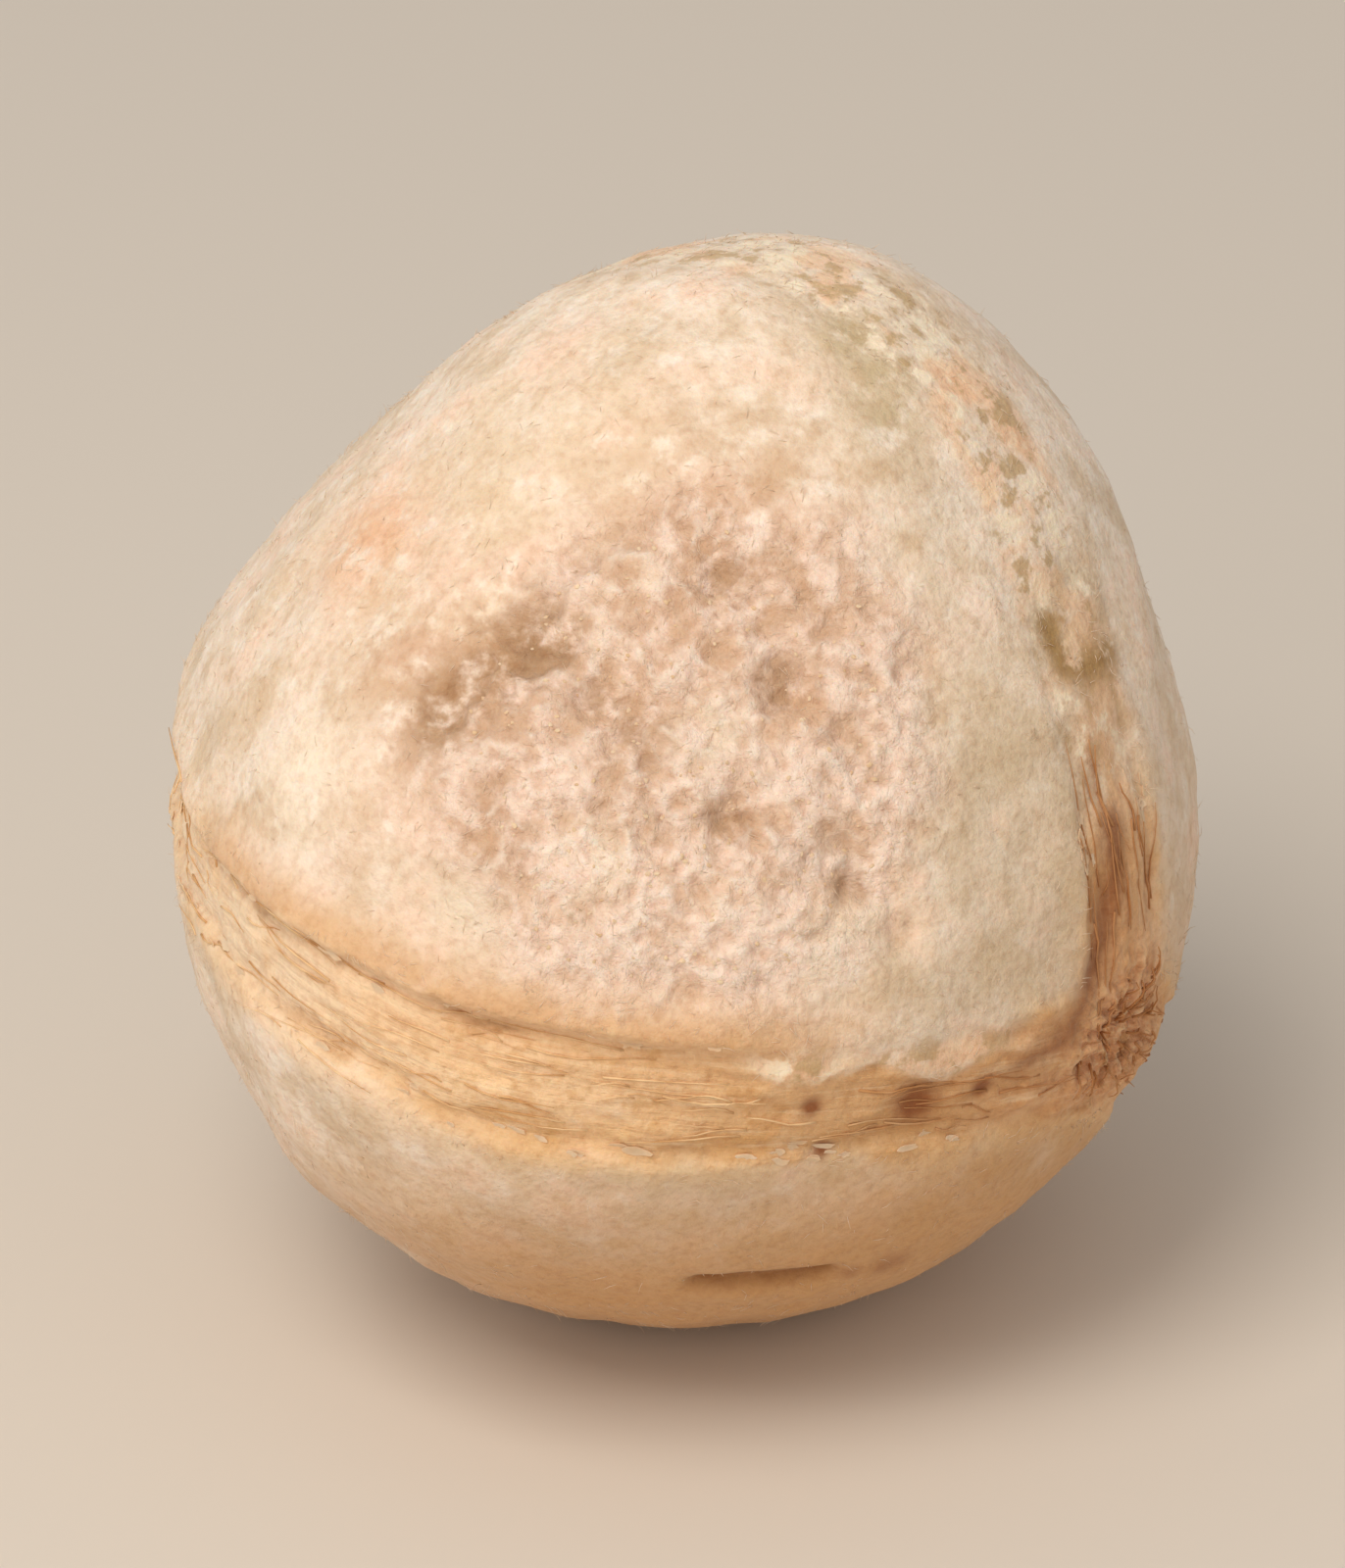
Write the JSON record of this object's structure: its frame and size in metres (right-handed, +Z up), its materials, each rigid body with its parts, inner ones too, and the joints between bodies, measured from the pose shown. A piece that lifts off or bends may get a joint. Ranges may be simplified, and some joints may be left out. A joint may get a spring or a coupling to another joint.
{
  "type": "moringa seed kernel",
  "caption": "Dehulled moringa seed: a rounded three-sided cream kernel with tan fibrous wing scars from pole to pole and a worn, pitted face.",
  "frame": {"origin": "middle of the bounding box's underside, on the flat spot the kernel rests on", "axes": "+Z up; +X towards the end where the three scars meet in a torn knot, along the kernel's own axis as seen from above (the axis dips 10 degrees at that end); -Y towards the front scar"},
  "size_m": [0.0078, 0.008, 0.0081],
  "materials": {
    "kernel_skin": "matt, dry and papery, cream with orange-tan scars and brown pits"
  },
  "bodies": {
    "root": {"kernel": "kernel_skin"}
  },
  "joints": []
}
